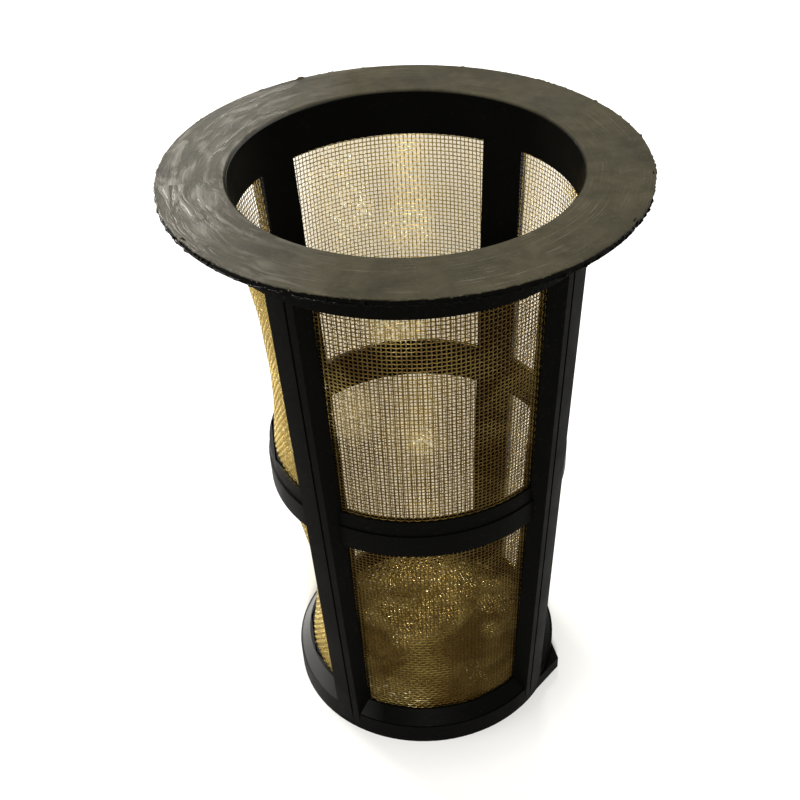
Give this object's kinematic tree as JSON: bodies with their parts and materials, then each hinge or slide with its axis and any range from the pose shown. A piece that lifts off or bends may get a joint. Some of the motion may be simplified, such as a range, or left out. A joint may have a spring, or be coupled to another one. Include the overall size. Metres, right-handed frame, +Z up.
{
  "type": "fuel filler strainer",
  "caption": "Basket strainer for a fuel filler neck: a black moulded cage with a wide thin flange, ribs and hoops round a sleeve and floor of brass wire cloth.",
  "frame": {"origin": "centre of the foot's underside, on the surface that the strainer stands on", "axes": "+Z up along the basket's axis; -Y faces out of the front window, ribs stand at 45 degrees to X and Y"},
  "size_m": [0.07, 0.07, 0.1014],
  "materials": {
    "black_plastic": "satin black, scuffed grey on the flange",
    "brass_cloth": "woven wire, lightly tarnished, creased"
  },
  "bodies": {
    "root": {"cage": "black_plastic", "screen_sleeve": "brass_cloth", "screen_floor": "brass_cloth"}
  },
  "joints": []
}
